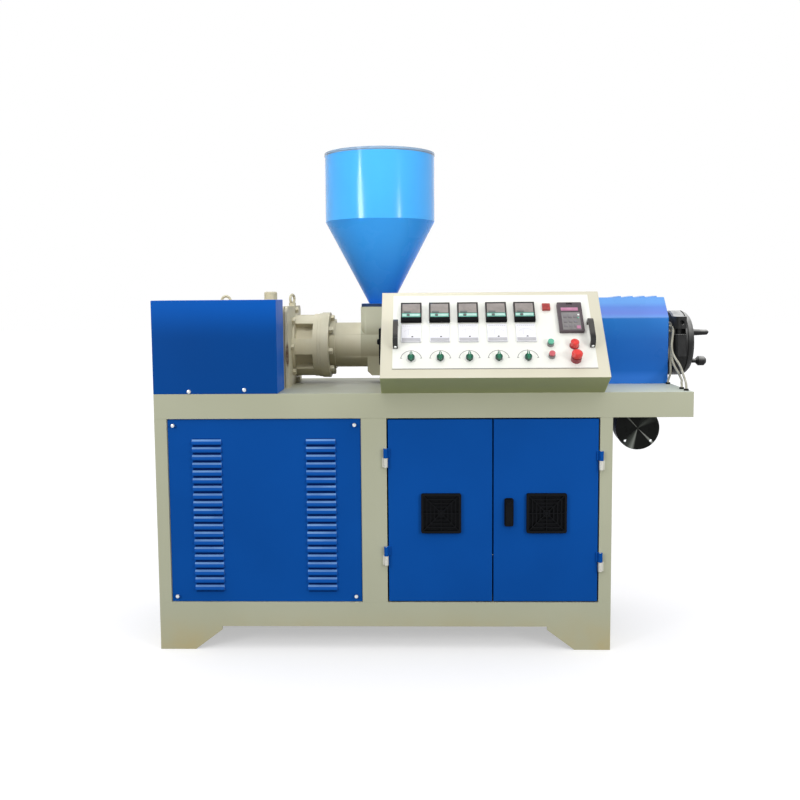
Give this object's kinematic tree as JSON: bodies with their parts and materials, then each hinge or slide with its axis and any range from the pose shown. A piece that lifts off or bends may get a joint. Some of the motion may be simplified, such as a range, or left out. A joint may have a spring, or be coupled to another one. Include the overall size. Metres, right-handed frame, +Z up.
{
  "type": "plastic extruder",
  "caption": "Single-screw plastic extruder on a steel cabinet with hopper, gearbox, covered barrel, die head and sloping control console.",
  "frame": {"origin": "on the floor, under the middle of the machine's outline", "axes": "+X along the screw towards the die head, +Y from the operator's side to the back, +Z up"},
  "size_m": [1.975, 0.718, 1.743],
  "materials": {
    "frame_paint": "semi-gloss grey-beige enamel",
    "blue_paint": "gloss blue enamel",
    "casting_paint": "warm beige paint over rough casting",
    "screw_steel": "turned steel",
    "black_casting": "black heat-resisting paint",
    "black_plastic": "moulded black plastic",
    "console_paint": "cream enamel",
    "face_plate": "white coated sheet",
    "controller_plastic": "dark moulded bezel",
    "meter_plastic": "white moulded meter",
    "collar_metal": "satin metal collars",
    "red_plastic": "glossy red",
    "green_plastic": "glossy green",
    "keypad_plastic": "grey moulded keypad",
    "lead_sleeve": "braided glass-fibre sleeve"
  },
  "bodies": {
    "frame": {"deck_tray": "frame_paint", "posts": "frame_paint", "base_skirt": "frame_paint", "floor_pan": "frame_paint", "partition": "frame_paint", "hinge_bases": "frame_paint", "louvre_panel": "blue_paint", "back_louvre_panel": "blue_paint", "back_panel": "blue_paint", "end_panels": "blue_paint", "gear_guard": "blue_paint", "gearbox": "casting_paint", "lifting_eyes": "casting_paint", "oil_breather": "casting_paint", "lantern": "casting_paint", "feed_section": "casting_paint", "heated_barrel": "screw_steel", "barrel_cover": "blue_paint", "die_head": "black_casting", "head_handles": "black_casting", "hopper_cone": "blue_paint", "hopper_drum": "blue_paint", "console_box": "console_paint", "console_face": "face_plate", "console_vent": "black_plastic", "controllers": "controller_plastic", "meters": "meter_plastic", "control_collars": "collar_metal", "alarm_lamp": "red_plastic", "drive_keypad": "keypad_plastic", "console_handles": "black_plastic", "blower_cover": "black_casting", "blower_casing": "black_casting", "blower_motor": "black_casting", "lead_glands": "black_plastic", "heater_lead_1": "lead_sleeve", "heater_lead_2": "lead_sleeve", "heater_lead_3": "lead_sleeve"},
    "left_door": {"left_door": "blue_paint", "left_door_vent": "black_plastic"},
    "right_door": {"right_door": "blue_paint", "right_door_vent": "black_plastic", "door_latch": "black_plastic"},
    "screw": {"screw": "screw_steel"},
    "speed_knob": {"speed_knob": "red_plastic"},
    "start_button": {"start_button": "green_plastic"},
    "stop_button": {"stop_button": "red_plastic"},
    "estop_button": {"estop_button": "red_plastic"},
    "selector_knob_1": {"selector_knob_1": "green_plastic"},
    "selector_knob_2": {"selector_knob_2": "green_plastic"},
    "selector_knob_3": {"selector_knob_3": "green_plastic"},
    "selector_knob_4": {"selector_knob_4": "green_plastic"},
    "selector_knob_5": {"selector_knob_5": "green_plastic"}
  },
  "joints": [
    {"name": "left_door_swing", "type": "hinge", "parent": "frame", "child": "left_door", "pos_m": [-0.2005, -0.266, 0.5], "axis": [0, 0, -1], "range_deg": [0, 110]},
    {"name": "right_door_swing", "type": "hinge", "parent": "frame", "child": "right_door", "pos_m": [0.5255, -0.266, 0.5], "axis": [0, 0, 1], "range_deg": [0, 110]},
    {"name": "screw_turn", "type": "hinge", "parent": "frame", "child": "screw", "pos_m": [-0.2375, 0.153, 1.033], "axis": [1, 0, 0], "continuous": true},
    {"name": "selector_1_turn", "type": "hinge", "parent": "frame", "child": "selector_knob_1", "pos_m": [-0.1115, -0.31429, 1.01469], "axis": [0, -0.7437, 0.6685], "range_deg": [-45, 45]},
    {"name": "selector_2_turn", "type": "hinge", "parent": "frame", "child": "selector_knob_2", "pos_m": [-0.0152, -0.31429, 1.01469], "axis": [0, -0.7437, 0.6685], "range_deg": [-45, 45]},
    {"name": "selector_3_turn", "type": "hinge", "parent": "frame", "child": "selector_knob_3", "pos_m": [0.0811, -0.31429, 1.01469], "axis": [0, -0.7437, 0.6685], "range_deg": [-45, 45]},
    {"name": "selector_4_turn", "type": "hinge", "parent": "frame", "child": "selector_knob_4", "pos_m": [0.1774, -0.31429, 1.01469], "axis": [0, -0.7437, 0.6685], "range_deg": [-45, 45]},
    {"name": "selector_5_turn", "type": "hinge", "parent": "frame", "child": "selector_knob_5", "pos_m": [0.2737, -0.31429, 1.01469], "axis": [0, -0.7437, 0.6685], "range_deg": [-45, 45]},
    {"name": "speed_knob_turn", "type": "hinge", "parent": "frame", "child": "speed_knob", "pos_m": [0.4295, -0.2802, 1.05262], "axis": [0, -0.7437, 0.6685], "range_deg": [-135, 135]},
    {"name": "start_button_press", "type": "slide", "parent": "frame", "child": "start_button", "axis": [0, 0.7437, -0.6685], "range_m": [0, 0.004], "stiffness_N_per_m": 500},
    {"name": "stop_button_press", "type": "slide", "parent": "frame", "child": "stop_button", "axis": [0, 0.7437, -0.6685], "range_m": [0, 0.004], "stiffness_N_per_m": 500},
    {"name": "estop_button_press", "type": "slide", "parent": "frame", "child": "estop_button", "axis": [0, 0.7437, -0.6685], "range_m": [0, 0.006], "stiffness_N_per_m": 900}
  ]
}
